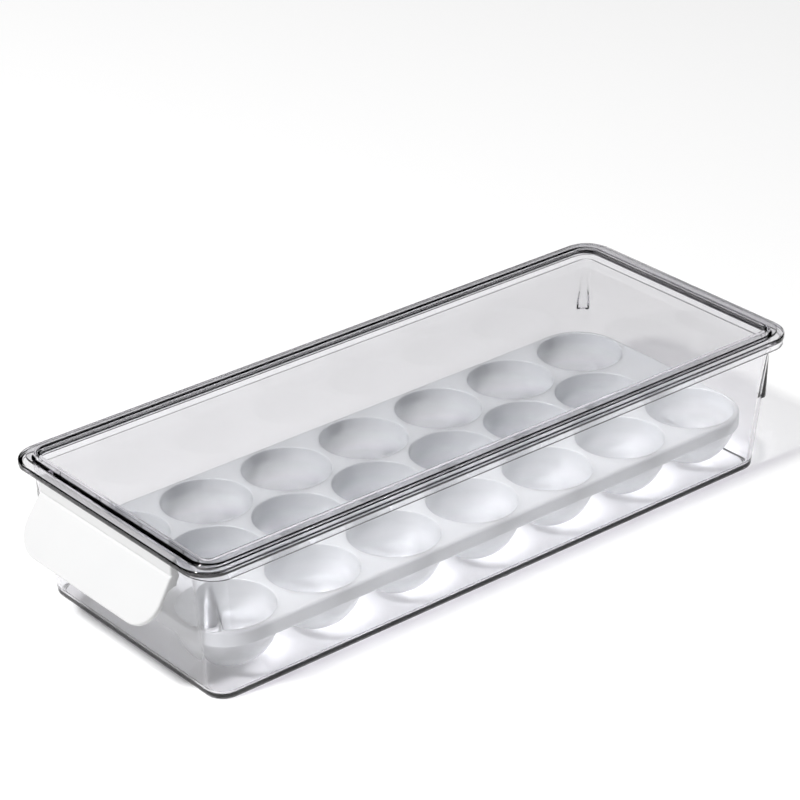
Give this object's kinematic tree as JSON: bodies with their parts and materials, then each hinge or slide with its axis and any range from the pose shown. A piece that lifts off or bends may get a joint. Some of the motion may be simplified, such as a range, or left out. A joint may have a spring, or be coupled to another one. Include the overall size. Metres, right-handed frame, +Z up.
{
  "type": "egg holder tray",
  "caption": "Clear lidded fridge bin with a white pull handle and a lift-out frosted tray of staggered egg cups.",
  "frame": {"origin": "centre of the bin's base, on the surface it stands on", "axes": "+Z up, Y along the length with the pull handle at -Y, X across the width"},
  "size_m": [0.155, 0.3918, 0.0771],
  "materials": {
    "clear_plastic_bin": "clear, polished",
    "white_soft_plastic": "satin white, soft touch",
    "frosted_tray": "translucent frosted white",
    "clear_plastic_lid": "clear, polished"
  },
  "bodies": {
    "bin": {"clear_bin": "clear_plastic_bin", "pull_handle": "white_soft_plastic"},
    "tray": {"egg_tray": "frosted_tray"},
    "lid": {"clear_lid": "clear_plastic_lid"}
  },
  "joints": [
    {"name": "lid_lift", "type": "slide", "parent": "bin", "child": "lid", "axis": [0, 0, 1], "range_m": [0, 0.2]},
    {"name": "tray_lift", "type": "slide", "parent": "bin", "child": "tray", "axis": [0, 0, 1], "range_m": [0, 0.1]}
  ],
  "couplings": [
    {"joint": "tray_lift", "follows": "lid_lift", "ratio": 0.5}
  ]
}
